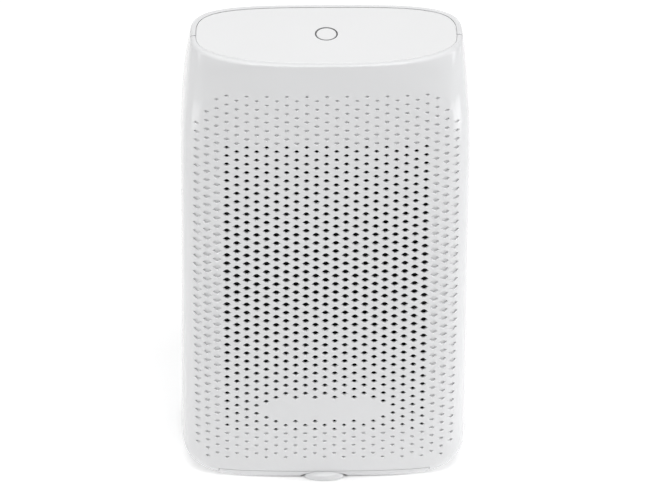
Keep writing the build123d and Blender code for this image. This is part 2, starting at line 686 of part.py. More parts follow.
# ------------------------------------------------------------------ tank
tank_shape = casing(0.0, FOOT_H, 130)
tank_inside = casing(TANK_WALL, FOOT_H + TANK_WALL, 130)
grip_half, grip_deep, grip_low, grip_high = GRIP
with BuildPart() as tank_cavity:
    inside = TANK_HALF_W - TANK_WALL
    add(block(-inside, inside, TANK_FRONT_Y + TANK_WALL, FAR, TANK_FLOOR_Z + TANK_WALL, TANK_TOP_Z + 1))
    add(tank_inside, mode=Mode.INTERSECT)
    grip_y = BACK_Y - grip_deep
    wide = grip_half + TANK_WALL
    add(block(-wide, wide, grip_y - 2, FAR, grip_low - TANK_WALL, grip_high + TANK_WALL), mode=Mode.SUBTRACT)
    # bracket that carries the float pin
    low_x, high_x, ahead, behind, half = FLOAT_BRACKET
    bracket_y = (FLOAT_AXIS_Y - ahead, FLOAT_AXIS_Y + behind)
    add(block(low_x, high_x, *bracket_y, FLOAT_AXIS_Z - half, FLOAT_AXIS_Z + half), mode=Mode.SUBTRACT)

with BuildPart() as water_tank:
    add(block(-TANK_HALF_W, TANK_HALF_W, TANK_FRONT_Y, FAR, TANK_FLOOR_Z, TANK_TOP_Z))
    add(tank_shape, mode=Mode.INTERSECT)
    add(tank_cavity.part, mode=Mode.SUBTRACT)
    add(block(-grip_half, grip_half, grip_y, FAR, grip_low, grip_high), mode=Mode.SUBTRACT)
    slot_y = FLOAT_AXIS_Y + 4.5
    slot_z = (FLOAT_AXIS_Z - 8, FLOAT_AXIS_Z + 8)
    add(block(FLOAT_X - 5, FLOAT_X + 5, slot_y - 15, slot_y, *slot_z), mode=Mode.SUBTRACT)
    add(cross_rod(FLOAT_X, FLOAT_AXIS_Y, FLOAT_PIN_R, 23), mode=Mode.SUBTRACT)
save(water_tank, "water_tank")

with BuildPart() as tank_lid:
    add(block(-TANK_HALF_W, TANK_HALF_W, TANK_FRONT_Y, FAR, TANK_TOP_Z, TANK_TOP_Z + LID_T))
    add(tank_shape, mode=Mode.INTERSECT)
    with BuildSketch(Plane.XY.offset(TANK_TOP_Z - 1)):
        with Locations((0, DRIP_Y)):
            SlotOverall(*DRIP_SLOT)
        with Locations((0, PLUG_Y)):
            Circle(PLUG_HOLE_R)
    extrude(amount=5, mode=Mode.SUBTRACT)
save(tank_lid, "tank_lid")

with BuildPart() as tank_plug:
    with BuildSketch(Plane.XY.offset(TANK_TOP_Z - 3)):
        with Locations((0, PLUG_Y)):
            Circle(PLUG_R)
    extrude(amount=LID_T + 3)
    with BuildSketch(Plane.XY.offset(TANK_TOP_Z + LID_T)):
        with Locations((0, PLUG_Y)):
            Circle(PLUG_HEAD_R)
    extrude(amount=PLUG_HEAD_T)
save(tank_plug, "tank_plug")

with BuildPart() as float_pin:
    add(cross_rod(FLOAT_X - 0.5, FLOAT_AXIS_Y, FLOAT_PIN_R, 21))
save(float_pin, "float_pin")

with BuildPart() as float_arm:
    with BuildSketch(Plane.YZ.offset(FLOAT_X - 4)):
        with Locations((FLOAT_AXIS_Y, FLOAT_AXIS_Z)):
            Circle(4)
        with Locations((FLOAT_AXIS_Y - 16, FLOAT_AXIS_Z)):
            Rectangle(32, 5)
    extrude(amount=8)
    add(block(*FLOAT_BODY, FLOAT_AXIS_Z - 7, FLOAT_AXIS_Z + 6))
    add(cross_rod(FLOAT_X, FLOAT_AXIS_Y, FLOAT_PIN_R + 0.05, 30), mode=Mode.SUBTRACT)
    add(cross_rod(*MAGNET_AT, MAGNET_R, MAGNET_L + 0.1), mode=Mode.SUBTRACT)
save(float_arm, "float_arm")

with BuildPart() as float_magnet:
    add(cross_rod(*MAGNET_AT, MAGNET_R, MAGNET_L))
save(float_magnet, "float_magnet")

with BuildPart() as level_sensor:
    add(block(-72.5, -70.9, 4, 16, 66, 90))
save(level_sensor, "level_sensor")
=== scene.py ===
import math

import bpy
import numpy as np
from mathutils import Matrix, Vector
from mathutils.geometry import delaunay_2d_cdt


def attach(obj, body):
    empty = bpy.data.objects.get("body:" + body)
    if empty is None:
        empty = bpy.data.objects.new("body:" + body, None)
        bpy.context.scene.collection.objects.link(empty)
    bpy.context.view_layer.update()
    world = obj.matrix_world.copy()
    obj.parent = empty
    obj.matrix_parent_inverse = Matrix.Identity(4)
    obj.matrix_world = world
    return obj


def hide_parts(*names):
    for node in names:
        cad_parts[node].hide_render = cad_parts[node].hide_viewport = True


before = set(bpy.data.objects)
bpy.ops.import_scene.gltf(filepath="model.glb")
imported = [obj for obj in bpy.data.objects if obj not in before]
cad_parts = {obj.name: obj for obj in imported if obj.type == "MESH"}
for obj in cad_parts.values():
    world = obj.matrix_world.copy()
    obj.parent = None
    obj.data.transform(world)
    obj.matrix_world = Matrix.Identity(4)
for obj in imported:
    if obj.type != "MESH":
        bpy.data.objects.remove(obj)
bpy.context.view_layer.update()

# ---- casing, in millimetres, the same curves as the CAD ----
BODY_W, BODY_H, FRONT_Y, BACK_Y, FOOT_H, WALL = 205.0, 365.0, -68.5, 72.5, 0.5, 1.6
TOP_W, TOP_D, BOTTOM_R, BOTTOM_RZ = 190.0, 75.5, 25.0, 18.0
TAPER_Z, SLOPE_Z, SLOPE_POWER = 255.0, 140.0, 2.6
FRONT_POWER, TOP_FRONT_POWER, ROUNDING_Z, BACK_POWER = 7.0, 2.4, 300.0, 3.6
FRONT_TUCK, BACK_TUCK = 2.0, 2.0
RIM_IN, SHELF_W, SHELF_Z, EDGE_R = 3.78, 8.0, 358.0, 2.0
RIM_ROUND = 0.3  # small rounding on the inner edge of the rim
PLATE_T = 3.0  # thickness of the top plate, which lies on the shelf inside the rim
GAP, SEAM_TOP_Y, SEAM_FOOT_Y, SEAM_R = 0.4, -30.5, -14.0, 0.25
LOW_Z = 0.6  # lowest ring of the shells
SKIN_TOP = BODY_H - EDGE_R
SQUEEZE_Z = 341.5  # inner skins are squeezed above this, to end under the shelf

# ---- grille ----
PITCH_X, PITCH_Z, GRILLE_Z = 7.0, 7.26, 179.0
DIAMOND_W, DIAMOND_H = 6.0, 4.8
BLUNT_W, BLUNT_H = 0.2, 0.84  # where a diamond's upper and lower corners are cut, as shares of its half sizes
SHRINK, SHRINK_ROW, SHRINK_POWER = 0.42, 18.5, 1.6  # diamonds get smaller away from the middle row
LAST_COLUMN, END_ROW = 13, 22
OUTER_ROWS = {11: (-21.5, 21.5), 12: (-20, 22), 13: (-18.5, 20.5)}  # first and last row of the end columns
THROUGH_COLUMN, THROUGH_ROWS = 10, (-16, 18.5)  # diamonds past these are blind dimples
BLANK_ROW, BLANK_COLUMN = 16, 5  # the plain oval on the lower front
BEVEL, BEVEL_HIGH = 0.4, 0.8  # width and depth of the bevel, and how much of it shows above and below
DIMPLE = 1.3

# ---- base, doorway, rear details ----
BASE_HALF, BASE_LIP, LIP_LIFT = 76.2, 5.9, 1.6
DOOR_HALF, DOOR_Z = 70.7, 102.2
SCREWS = [(-70.0, 135.0), (70.0, 135.0), (-60.0, 290.0), (60.0, 290.0)]
INLET = (45.0, 128.0)
VENT_Z, VENT_COUNT, VENT_PITCH, VENT_W, VENT_H = 215.0, 13, 7.0, 92.0, 3.2
HOLE_EDGE = 0.4  # width of the bevel round the rear holes
SCREW_WELL = (4.0, 5.5, 8.0, 10.0, 1.7)  # radius, boss radius, floor depth, boss depth, bore radius
INLET_WELL = (8.0, 10.0, 3.0, 5.0, 4.1)

# ---- how finely the shells are divided ----
SPAN = 145.0  # flat width given to half a shell while it is triangulated
SEAM_SHARE = 0.9999  # shares past this lie on the seam
SAME = 1e-4  # heights closer than this are the same
EDGE_TURNS = (15, 32, 50, 70, 90)  # degrees at which the rounded top edge has points
CORNER_ROWS = [0.9, 1.4, 2.2, 3.2, 4.4, 6.0, 8.0, 10.5, 13, 16, 19.5, 23.5, 28]
FLANK_FOOT, FLANK_ROWS = 34, 56  # the seam edge above the rounded lower corner
RIM_POINTS, FOOT_POINTS, LIP_POINTS, LINTEL_POINTS = 117, 12, 61, 41
DOOR_ROWS = [10, 15, 20, 25, 30, 38]
DOOR_UPPER, DOOR_UPPER_ROWS = 46, 9
FILL_LOW = [1.5, 2.6, 4.2, 6.3, 8.6, 11.2, 14.2, 17.5, 21, 25, 29, 33.5]
FILL_FROM, FILL_TO, FILL_STEP, FILL_TOP = 39, 358, 5.2, 359.5
FILL_SHARE, FILL_COUNT, FILL_CLOSE = 0.985, 93, 109
CLOSE_BELOW, CLOSE_ABOVE = 34, 300  # rows below and above these get FILL_CLOSE points
CLEAR_EDGE = 1.2  # distance that fill points keep from the base cut-out
CLEAR_HOLE, CLEAR_SHARE, CLEAR_WELL = 1.0, 1.12, 1.4  # and from diamonds and rear holes

# ---- stage, in metres ----
FLOOR_HALF = 14.0
# size of the painted darker zone round the base, where the floor's painted glow fades out
FOOTPRINT_X, FOOTPRINT_Y = 0.09, 0.0655
PAINTED_FLOOR_GLOW, GLOW_END = 0.28, 1.2  # the floor's painted glow, full at this many footprints from the middle; nearer in it fades out, painting a darker zone round the base


def rise(z, start, power):
    """How far z has come from the start to the top, from 0 to 1."""
    return max(0.0, (z - start) / (BODY_H - start)) ** power


def tuck(z):
    """How far the rounded lower corner pulls the wall in, from 0 to 1."""
    depth = min(1.0, max(0.0, BOTTOM_RZ - (z - FOOT_H)) / BOTTOM_RZ)
    return 1.0 - math.sqrt(1.0 - depth ** 2)


def back_face(z):
    return BACK_Y - BACK_TUCK * tuck(z) - (BACK_Y - FRONT_Y - TOP_D) * rise(z, SLOPE_Z, SLOPE_POWER)


def middle(z):
    wide_y = (FRONT_Y + BACK_Y) / 2
    return wide_y + (SEAM_TOP_Y - wide_y) * rise(z, SLOPE_Z, SLOPE_POWER)


def half_width(z):
    return BODY_W / 2 - BOTTOM_R * tuck(z) - (BODY_W - TOP_W) / 2 * rise(z, TAPER_Z, 2)


def front_power(z):
    return FRONT_POWER - (FRONT_POWER - TOP_FRONT_POWER) * rise(z, ROUNDING_Z, 1.5)


def seam_y(z):
    """The seam between the two mouldings leans back towards its foot."""
    return SEAM_FOOT_Y + (SEAM_TOP_Y - SEAM_FOOT_Y) * z / BODY_H


def quarter(power, count=240):
    """A rounded quarter from (0, 1) to (1, 0) as a degree 5 Bezier curve."""
    far = (32 * 0.5 ** (1 / power) - 16) / 13
    near = 0.6 * far
    points = np.array([(0, 1), (near, 1), (far, 1), (1, far), (1, near), (1, 0)])
    t = np.linspace(0, 1, count)[:, None]
    terms = [w * t ** k * (1 - t) ** (5 - k) for k, w in enumerate((1, 5, 10, 10, 5, 1))]
    return sum(term * point for term, point in zip(terms, points))


CURVES = {}


def curve(face, z, inset=0.0, edge=SEAM_R):
    """Right half of a shell's plan line at z, middle to seam: shares of its length, and its points."""
    key = (face, round(z, 4), inset, edge)
    if key not in CURVES:
        half = half_width(z) - inset
        front = middle(z) - (FRONT_Y + FRONT_TUCK * tuck(z) + inset)
        back = back_face(z) - inset - middle(z)
        ahead = quarter(front_power(z)) * (half, -front) + (0, middle(z))
        behind = quarter(BACK_POWER) * (half, back) + (0, middle(z))
        sign = 1 if face == "front" else -1
        path = np.vstack([ahead, behind[-2::-1]] if face == "front" else [behind, ahead[-2::-1]])
        end = seam_y(z) - sign * (GAP / 2 + edge)
        n = int(np.argmax(sign * (path[:, 1] - end) > 0))
        share = (end - path[n - 1, 1]) / (path[n, 1] - path[n - 1, 1])
        path = np.vstack([path[:n], path[n - 1] + share * (path[n] - path[n - 1])])
        length = np.concatenate([[0], np.cumsum(np.hypot(*np.diff(path, axis=0).T))])
        CURVES[key] = (length / length[-1], path)
    return CURVES[key]


def spot(face, s, z, inset=0.0, edge=SEAM_R):
    """Point of the shell at a signed share s of its half length."""
    shares, path = curve(face, z, inset, edge)
    x = np.interp(abs(s), shares, path[:, 0])
    return np.array([math.copysign(x, s), np.interp(abs(s), shares, path[:, 1]), z])


def share_of(face, x, z):
    """Signed share where the shell has this x, on its front or back face."""
    shares, path = curve(face, z)
    n = int(np.argmax(path[:, 0])) + 1
    return math.copysign(np.interp(abs(x), path[:n, 0], shares[:n]), x)


def normal_at(face, s, z):
    """Outward normal of the shell's surface."""
    step, rise_by = 0.004, 0.3
    low, high = max(LOW_Z, z - rise_by), min(SKIN_TOP, z + rise_by)
    a, b = max(-1, s - step), min(1, s + step)
    across = spot(face, b, z) - spot(face, a, z)
    up = spot(face, s, high) - spot(face, s, low)
    n = np.cross(across, up) * (1 if face == "front" else -1)
    return n / np.linalg.norm(n)


def inside(face, s, z):
    """Point of the inner skin behind the surface point."""
    n = normal_at(face, s, z)
    p = spot(face, s, z) - n * WALL
    if z > SQUEEZE_Z:
        share = (z - SQUEEZE_Z) / (SKIN_TOP - SQUEEZE_Z)
        p[2] -= share * (SKIN_TOP - SHELF_Z) + (p[2] - z) * share
    return p


def lip(x):
    """Lower edge of the front cover over the base strip."""
    return BASE_LIP + LIP_LIFT * (x / BASE_HALF) ** 2


def lattice():
    """Every diamond of the front: x, z, width, height, and whether it goes through."""
    for column in range(-LAST_COLUMN, LAST_COLUMN + 1):
        full = END_ROW if column % 2 == 0 else END_ROW - 0.5
        low, high = OUTER_ROWS.get(abs(column), (-full, full))
        for row in np.arange(low, high + 0.1):
            in_oval = abs(row - BLANK_ROW) <= 1 and abs(column) <= BLANK_COLUMN
            oval_tip = row == BLANK_ROW and abs(column) == BLANK_COLUMN + 1
            if not (in_oval or oval_tip):
                size = 1 - SHRINK * abs(row / SHRINK_ROW) ** SHRINK_POWER
                through = abs(column) <= THROUGH_COLUMN and THROUGH_ROWS[0] <= row <= THROUGH_ROWS[1]
                yield column * PITCH_X, GRILLE_Z - row * PITCH_Z, DIAMOND_W * size, DIAMOND_H * size, through


def lens(x, z, wide, high):
    """A diamond with blunted upper and lower corners."""
    w, h = wide / 2, high / 2
    cut_w, cut_h = BLUNT_W * w, BLUNT_H * h
    return [(x + w, z), (x + cut_w, z + cut_h), (x - cut_w, z + cut_h),
            (x - w, z), (x - cut_w, z - cut_h), (x + cut_w, z - cut_h)]


def long_slot(x, z, wide, high, count=6, parts=8):
    """A slot with round ends, its straight sides cut into equal parts."""
    r = high / 2
    right = [(x + wide / 2 - r + r * math.cos(a), z + r * math.sin(a))
             for a in np.linspace(-math.pi / 2, math.pi / 2, count)]
    left = [(x - wide / 2 + r + r * math.cos(a), z + r * math.sin(a))
            for a in np.linspace(math.pi / 2, 3 * math.pi / 2, count)]
    top = [(x + wide / 2 - r - k * (wide - high) / parts, z + r) for k in range(1, parts)]
    foot = [(x - wide / 2 + r + k * (wide - high) / parts, z - r) for k in range(1, parts)]
    return right + top + left + foot


def circle(x, z, r, count=28):
    angles = [2 * math.pi * k / count for k in range(count)]
    return [(x + r * math.cos(a), z + r * math.sin(a)) for a in angles]


def front_features():
    """Holes and dimples of the front cover."""
    made = []
    for x, z, wide, high, through in lattice():
        made.append({
            "outer": lens(x, z, wide + 2 * BEVEL, high + 2 * BEVEL * BEVEL_HIGH),
            "ring": lens(x, z, wide, high),
            "depth": None if through else DIMPLE,
            "size": (x, z, wide / 2, high / 2)})
    return made


def rear_features():
    """Vents, screw wells and the inlet's well in the rear housing."""
    made = []
    for k in range(VENT_COUNT):
        z = VENT_Z + (k - (VENT_COUNT - 1) / 2) * VENT_PITCH
        made.append({
            "outer": long_slot(0, z, VENT_W + 2 * HOLE_EDGE, VENT_H + 2 * HOLE_EDGE),
            "ring": long_slot(0, z, VENT_W, VENT_H),
            "depth": None,
            "size": (0, z, VENT_W / 2, VENT_H / 2)})
    wells = [(x, z, *SCREW_WELL) for x, z in SCREWS] + [(*INLET, *INLET_WELL)]
    for x, z, r, boss, depth, far, bore in wells:
        made.append({
            "outer": circle(x, z, r + HOLE_EDGE),
            "ring": circle(x, z, r),
            "inner": circle(x, z, boss),
            "boss": circle(x, z, boss),
            "bore": circle(x, z, bore),
            "depth": depth,
            "far": far,
            "size": (x, z, boss, boss)})
    return made


def outline_points(face):
    """Boundary of the shell in the flat (share, z) drawing, anticlockwise from the lower right."""
    low = [LOW_Z] + CORNER_ROWS
    side = low + list(np.linspace(FLANK_FOOT, SKIN_TOP, FLANK_ROWS))
    right = [(1.0, z) for z in side]
    top = [(s, SKIN_TOP) for s in np.linspace(1, -1, RIM_POINTS)[1:-1]]
    left = [(-1.0, z) for z in reversed(side)]
    start = share_of(face, BASE_HALF, LOW_Z)
    foot = [(s, LOW_Z) for s in np.linspace(-1, -start, FOOT_POINTS)[1:-1]]
    edge = [z for z in low if z < BASE_LIP]
    jamb = [(-BASE_HALF, z) for z in edge]
    if face == "front":
        jamb += [(x, lip(x)) for x in np.linspace(-BASE_HALF, BASE_HALF, LIP_POINTS)]
    else:
        door = [BASE_LIP] + DOOR_ROWS + list(np.linspace(DOOR_UPPER, DOOR_Z, DOOR_UPPER_ROWS))
        jamb += [(-BASE_HALF, BASE_LIP)] + [(-DOOR_HALF, z) for z in door]
        jamb += [(x, DOOR_Z) for x in np.linspace(-DOOR_HALF, DOOR_HALF, LINTEL_POINTS)[1:-1]]
        jamb += [(DOOR_HALF, z) for z in reversed(door)] + [(BASE_HALF, BASE_LIP)]
    jamb += [(BASE_HALF, z) for z in reversed(edge)]
    flat = [(share_of(face, x, z), z) for x, z in jamb]
    return right + top + left + foot + flat + [(-s, z) for s, z in reversed(foot)]


def near_hole(face, x, z, sizes):
    """Whether a point of the front or back face is too close to a hole to be used."""
    across, up = np.abs(x - sizes[:, 0]), np.abs(z - sizes[:, 1])
    if face == "front":
        reach = across / (sizes[:, 2] + CLEAR_HOLE) + up / (sizes[:, 3] + CLEAR_HOLE)
        return reach.min() < CLEAR_SHARE
    return ((across < sizes[:, 2] + CLEAR_WELL) & (up < sizes[:, 3] + CLEAR_WELL)).any()


def near_base(face, x, z):
    """Whether a point of the front or back face is in or too close to the base cut-out or the doorway."""
    if face == "front":
        edge = lip(x)
    else:
        edge = DOOR_Z if abs(x) < DOOR_HALF + CLEAR_EDGE else BASE_LIP
    return abs(x) < BASE_HALF + CLEAR_EDGE and z < edge + CLEAR_EDGE


def fill_points(face, features):
    """Points between the holes, close together where the shell curves."""
    made = []
    sizes = np.array([f["size"] for f in features])
    for z in FILL_LOW + list(np.arange(FILL_FROM, FILL_TO, FILL_STEP)) + [FILL_TOP]:
        count = FILL_CLOSE if z > CLOSE_ABOVE or z < CLOSE_BELOW else FILL_COUNT
        for s in np.linspace(-FILL_SHARE, FILL_SHARE, count):
            x, y, _ = spot(face, s, z)
            on_face = y < 0 if face == "front" else y > middle(z)
            if not (on_face and (near_base(face, x, z) or near_hole(face, x, z, sizes))):
                made.append((s, z))
    return made


class Drawing:
    """Outline and holes of one shell in the flat (share, z) drawing, triangulated."""

    def __init__(self, face, features):
        flat, self.polygons, self.rings = [], [], {}

        def polygon(points):
            self.polygons.append(list(range(len(flat), len(flat) + len(points))))
            flat.extend(points)

        polygon(outline_points(face))
        for number, feature in enumerate(features):
            for kind in ("outer", "inner"):
                if kind in feature:
                    self.rings[len(self.polygons)] = (number, kind)
                    polygon([(share_of(face, x, z), z) for x, z in feature[kind]])
        flat.extend(fill_points(face, features))
        spread = [Vector((s * SPAN, z)) for s, z in flat]
        result = delaunay_2d_cdt(spread, [], self.polygons, 0, 1e-6)
        points, _, self.triangles, sources, _, self.owners = result
        self.at = [(p.x / SPAN, p.y) for p in points]
        self.index = {source: new for new, group in enumerate(sources) for source in group}

    def ring(self, number):
        """Points of one polygon, in order."""
        return [self.index[i] for i in self.polygons[number]]


class Moulding:
    """Points and faces of a shell: drawn points on the outer skin, as many on the inner, then the rest."""

    def __init__(self, face, drawing):
        self.face, self.at, self.count = face, drawing.at, len(drawing.at)
        self.outward = face == "front"
        self.faces, self.smooth, self.beads = [], [], {}
        self.normals = [normal_at(face, s, z) for s, z in self.at]
        self.verts = [spot(face, s, z) for s, z in self.at]
        for s, z in self.at:
            square = self.on_seam(s) and z < SQUEEZE_Z
            self.verts.append(spot(face, s, z, WALL, 0.0) if square else inside(face, s, z))

    def on_seam(self, s):
        """Whether a share lies at the end of the plan line."""
        return abs(s) > SEAM_SHARE

    def add_face(self, loop, smooth=None):
        """A face, with the normals of its corners where it's part of a smooth surface."""
        self.faces.append(loop)
        self.smooth.append(smooth)

    def add_vert(self, point):
        self.verts.append(point)
        return len(self.verts) - 1

    def ring(self, points, place):
        return [self.add_vert(place(x, z)) for x, z in points]

    def wall(self, a, b):
        """Band between two rings; a is nearer the outside."""
        for k in range(len(a)):
            m = (k + 1) % len(a)
            loop = [a[k], a[m], b[m], b[k]]
            self.add_face(loop if self.outward else loop[::-1])

    def below(self, depth):
        """Gives the point this deep behind the surface at x, z."""
        step = depth if self.outward else -depth
        return lambda x, z: spot(self.face, share_of(self.face, x, z), z) + (0, step, 0)

    def bead(self, i):
        """Point where the outer skin's rounded seam edge meets the seam."""
        if i not in self.beads:
            self.beads[i] = self.add_vert(spot(self.face, *self.at[i], SEAM_R, 0.0))
        return self.beads[i]


class Rim:
    """Rounded top edge of a shell, its flat rim, and the step down to the shelf under the top plate."""

    def __init__(self, mesh, shelf_z):
        self.mesh, self.rows = mesh, {}
        edge, depth = RIM_IN - RIM_ROUND, 0.3 * RIM_ROUND
        self.profile = [(EDGE_R * (1 - math.cos(a)), SKIN_TOP + EDGE_R * math.sin(a), a)
                        for a in np.radians(EDGE_TURNS)]
        self.profile += [(edge, BODY_H, None), (RIM_IN - depth, BODY_H - depth, None),
                         (RIM_IN, BODY_H - RIM_ROUND, None), (RIM_IN, shelf_z, None),
                         (SHELF_W, shelf_z, None), (SHELF_W, SHELF_Z, None)]

    def point(self, i, level):
        if (i, level) not in self.rows:
            inset, z, _ = self.profile[level]
            self.rows[(i, level)] = self.mesh.add_vert(spot(self.mesh.face, self.mesh.at[i][0], z, inset))
        return self.rows[(i, level)]

    def normal(self, i, level):
        if level < 0:
            return self.mesh.normals[i]
        turn = self.profile[level][2]
        if turn is None:
            return np.array([0, 0, 1.0])
        n = self.mesh.normals[i] * math.cos(turn) + np.array([0, 0, math.sin(turn)])
        return n / np.linalg.norm(n)

    def strip(self, a, b):
        """Faces from one edge of the outer skin over the rim to the inner skin."""
        below = (a, b)
        for level in range(len(self.profile)):
            above = (self.point(a, level), self.point(b, level))
            smooth = None
            if level <= len(EDGE_TURNS):
                smooth = [self.normal(b, level - 1), self.normal(a, level - 1)]
                smooth += [self.normal(a, level), self.normal(b, level)]
            self.mesh.add_face([below[1], below[0], above[0], above[1]], smooth)
            below = above
        self.mesh.add_face([below[1], below[0], a + self.mesh.count, b + self.mesh.count])

    def column(self, i):
        return [self.point(i, level) for level in range(len(self.profile))]


def opens_lining(feature, kind):
    """Whether a ring opens the inner skin: the root of a boss does, and so does a plain through hole."""
    return kind == "inner" or "inner" not in feature and feature["depth"] is None


def lay_skins(mesh, drawing, features):
    """Outer and inner skin with the holes left open. Gives back the outer skin's triangles."""
    skin, lining = [], []
    for triangle, owner in zip(drawing.triangles, drawing.owners):
        if 0 not in owner:
            continue
        held = [drawing.rings[o] for o in owner if o in drawing.rings]
        corners = list(triangle) if mesh.outward else list(reversed(triangle))
        if not any(kind == "outer" for _, kind in held):
            skin.append(corners)
        if not any(opens_lining(features[n], kind) for n, kind in held):
            lining.append([i + mesh.count for i in reversed(corners)])
    for corners in skin:
        mesh.add_face(corners, [mesh.normals[i] for i in corners])
    for corners in lining:
        mesh.add_face(corners)
    return skin


def line_hole(mesh, feature, outer, root):
    """Bevel and walls of one through hole, dimple or well; a well's boss meets the inner skin at its root."""
    edge = mesh.ring(feature["ring"], mesh.below(BEVEL))
    mesh.wall(outer, edge)
    if feature["depth"] is None:
        lined = [i + mesh.count for i in outer]
        for i, (x, z) in zip(lined, feature["ring"]):
            mesh.verts[i] = mesh.below(WALL)(x, z)
        mesh.wall(edge, lined)
    elif "far" not in feature:
        floor = mesh.ring(feature["ring"], mesh.below(feature["depth"]))
        mesh.wall(edge, floor)
        mesh.add_face(floor if mesh.outward else floor[::-1])
    else:
        x0, z0 = feature["size"][:2]
        rings = [edge]
        for shape, depth in (("ring", "depth"), ("bore", "depth"), ("bore", "far"), ("boss", "far")):
            y0 = mesh.below(feature[depth])(x0, z0)[1]
            rings.append(mesh.ring(feature[shape], lambda x, z: np.array([x, y0, z])))
        rings.append(root)
        for a, b in zip(rings, rings[1:]):
            mesh.wall(a, b)


def border_edges(drawing, skin):
    """Edges of the outer skin that have a triangle on one side only and aren't part of a hole."""
    edges = {}
    for corners in skin:
        for k in range(3):
            edges[(corners[k], corners[(k + 1) % 3])] = True
    hole_points = {i for number in drawing.rings for i in drawing.ring(number)}
    return [(a, b) for a, b in edges if (b, a) not in edges and not (a in hole_points and b in hole_points)]


def close_borders(mesh, rim, border):
    """Strips from the outer to the inner skin: over the rim, along the seams, and round the base cut-out."""
    at, count = mesh.at, mesh.count
    for a, b in border:
        if at[a][1] > SKIN_TOP - SAME and at[b][1] > SKIN_TOP - SAME:
            rim.strip(a, b)
        elif mesh.on_seam(at[a][0]) and mesh.on_seam(at[b][0]):
            m, n = mesh.bead(a), mesh.bead(b)
            mesh.add_face([b, a, m, n])
            mesh.add_face([n, m, a + count, b + count])
        else:
            mesh.add_face([b, a, a + count, b + count])


def close_ends(mesh, rim):
    """The end face of the rim at each seam, and the small triangle at the seam's foot."""
    for side in (-1.0, 1.0):
        seam = [i for i, (s, _) in enumerate(mesh.at) if abs(s - side) < 1e-5]
        corner = next(i for i in seam if mesh.at[i][1] > SKIN_TOP - SAME)
        foot = next(i for i in seam if mesh.at[i][1] < LOW_Z + SAME)
        cap = [corner] + rim.column(corner) + [corner + mesh.count, mesh.bead(corner)]
        tip = [foot, mesh.bead(foot), foot + mesh.count]
        for loop in (cap, tip):
            mesh.add_face(loop[::-1] if (side > 0) == mesh.outward else loop)


def shell(face, name, features, shelf_z):
    """One casing moulding: outer and inner skin, holes, seam edges and stepped rim, as one closed mesh."""
    drawing = Drawing(face, features)
    mesh = Moulding(face, drawing)
    skin = lay_skins(mesh, drawing, features)
    for number, (owner, kind) in drawing.rings.items():
        if kind == "outer":
            feature = features[owner]
            root = [i + mesh.count for i in drawing.ring(number + 1)] if "inner" in feature else None
            line_hole(mesh, feature, drawing.ring(number), root)
    rim = Rim(mesh, shelf_z)
    close_borders(mesh, rim, border_edges(drawing, skin))
    close_ends(mesh, rim)
    return build_mesh(name, mesh.verts, mesh.faces, mesh.smooth)


def build_mesh(name, verts, faces, corner_normals):
    """Mesh object from points in millimetres, without unused points and with the given corner normals."""
    used = sorted({i for loop in faces for i in loop})
    new = {old: k for k, old in enumerate(used)}
    places = [tuple(np.asarray(verts[i]) / 1000) for i in used]
    data = bpy.data.meshes.new(name)
    data.from_pydata(places, [], [[new[i] for i in loop] for loop in faces])
    data.update()
    piece = bpy.data.objects.new(name, data)
    bpy.context.scene.collection.objects.link(piece)
    custom = []
    for poly, given in zip(data.polygons, corner_normals):
        poly.use_smooth = given is not None
        normals = given if given is not None else [poly.normal] * len(poly.vertices)
        custom.extend(tuple(n) for n in normals)
    data.normals_split_custom_set(custom)
    return piece


# ------------------------------------------------------------------ materials
def start(name, metallic=0.0, **sockets):
    """A new material with its shader; uniform numbers go straight on the shader's sockets."""
    made = bpy.data.materials.new(name)
    made.use_nodes = True
    shader = made.node_tree.nodes["Principled BSDF"]
    shader.inputs["Metallic"].default_value = metallic
    for socket, value in sockets.items():
        shader.inputs[socket.replace("_", " ")].default_value = value
    return made, made.node_tree, shader


def noise(tree, scale, detail=3.0, stretch=(1, 1, 1)):
    where = tree.nodes.new("ShaderNodeTexCoord")
    bend = tree.nodes.new("ShaderNodeMapping")
    bend.inputs["Scale"].default_value = stretch
    made = tree.nodes.new("ShaderNodeTexNoise")
    made.inputs["Scale"].default_value = scale
    made.inputs["Detail"].default_value = detail
    tree.links.new(where.outputs["Object"], bend.inputs["Vector"])
    tree.links.new(bend.outputs["Vector"], made.inputs["Vector"])
    return made.outputs["Fac"]


def tint(tree, shader, factor, dark, light, low=0.3, high=0.7):
    """Base colour running between two tones with the factor."""
    ramp = tree.nodes.new("ShaderNodeValToRGB")
    for stop, position, tone in zip(ramp.color_ramp.elements, (low, high), (dark, light)):
        stop.position = position
        stop.color = (*tone, 1)
    tree.links.new(factor, ramp.inputs["Fac"])
    tree.links.new(ramp.outputs["Color"], shader.inputs["Base Color"])


def gloss(tree, shader, factor, low, high):
    """Roughness running between two values with the factor."""
    spread = tree.nodes.new("ShaderNodeMapRange")
    spread.inputs["From Min"].default_value = 0.3
    spread.inputs["From Max"].default_value = 0.7
    spread.inputs["To Min"].default_value = low
    spread.inputs["To Max"].default_value = high
    tree.links.new(factor, spread.inputs["Value"])
    tree.links.new(spread.outputs["Result"], shader.inputs["Roughness"])


def bump(tree, shader, factor, strength, distance):
    made = tree.nodes.new("ShaderNodeBump")
    made.inputs["Strength"].default_value = strength
    made.inputs["Distance"].default_value = distance
    tree.links.new(factor, made.inputs["Height"])
    tree.links.new(made.outputs["Normal"], shader.inputs["Normal"])


def moulded(name, dark, light, rough, grain=2500, strength=0.12, depth=0.00005, **sockets):
    """Moulded plastic: slow tone drift, fine grain in roughness and relief."""
    made, tree, shader = start(name, **sockets)
    tint(tree, shader, noise(tree, 9), dark, light)
    fine = noise(tree, grain, 2)
    gloss(tree, shader, fine, *rough)
    bump(tree, shader, fine, strength, depth)
    return made


def white_gloss():
    return moulded("white_gloss", (0.80, 0.803, 0.81), (0.82, 0.823, 0.83), (0.13, 0.18),
                   170, 0.05, 0.00003)


